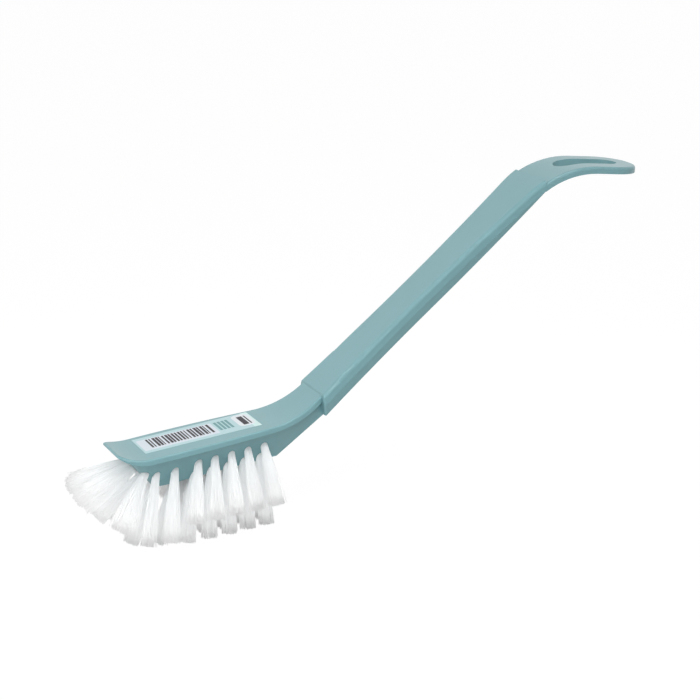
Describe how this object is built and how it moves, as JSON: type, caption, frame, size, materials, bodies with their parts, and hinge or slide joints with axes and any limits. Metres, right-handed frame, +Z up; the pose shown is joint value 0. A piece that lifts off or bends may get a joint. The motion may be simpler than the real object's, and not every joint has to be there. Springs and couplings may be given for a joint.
{
  "type": "dish brush",
  "caption": "Long-handled dish brush: head with an upturned scraper lip and splayed rows of tufts, bent neck, ribbed straight grip and a curved hook with a hanging slot.",
  "frame": {"origin": "middle of the whole brush's box in plan, at the level of its lowest tuft tips", "axes": "+X from the scraper lip back to the hook, +Y across the head to the far side of the picture, +Z up from the tuft tips through the flat of the head"},
  "size_m": [0.2572, 0.0444, 0.119],
  "materials": {
    "body": "satin moulded",
    "bristles": "translucent white",
    "anchors": "drawn wire",
    "label": "printed film"
  },
  "bodies": {
    "root": {"body": "body", "anchors": "anchors", "label": "label", "tuft_left_1": "bristles", "tuft_left_2": "bristles", "tuft_left_3": "bristles", "tuft_left_4": "bristles", "tuft_left_5": "bristles", "tuft_left_6": "bristles", "tuft_left_7": "bristles", "tuft_left_8": "bristles", "tuft_right_1": "bristles", "tuft_right_2": "bristles", "tuft_right_3": "bristles", "tuft_right_4": "bristles", "tuft_right_5": "bristles", "tuft_right_6": "bristles", "tuft_right_7": "bristles", "tuft_right_8": "bristles", "tuft_centre_1": "bristles", "tuft_centre_2": "bristles", "tuft_centre_3": "bristles", "tuft_centre_4": "bristles", "tuft_centre_5": "bristles", "tuft_centre_6": "bristles", "tuft_centre_7": "bristles", "tuft_centre_8": "bristles", "tuft_inner_left_1": "bristles", "tuft_inner_left_2": "bristles", "tuft_inner_left_3": "bristles", "tuft_inner_left_4": "bristles", "tuft_inner_left_5": "bristles", "tuft_inner_right_1": "bristles", "tuft_inner_right_2": "bristles", "tuft_inner_right_3": "bristles", "tuft_inner_right_4": "bristles", "tuft_inner_right_5": "bristles", "tuft_front_left": "bristles", "tuft_front_right": "bristles", "tuft_front_centre": "bristles"}
  },
  "joints": []
}
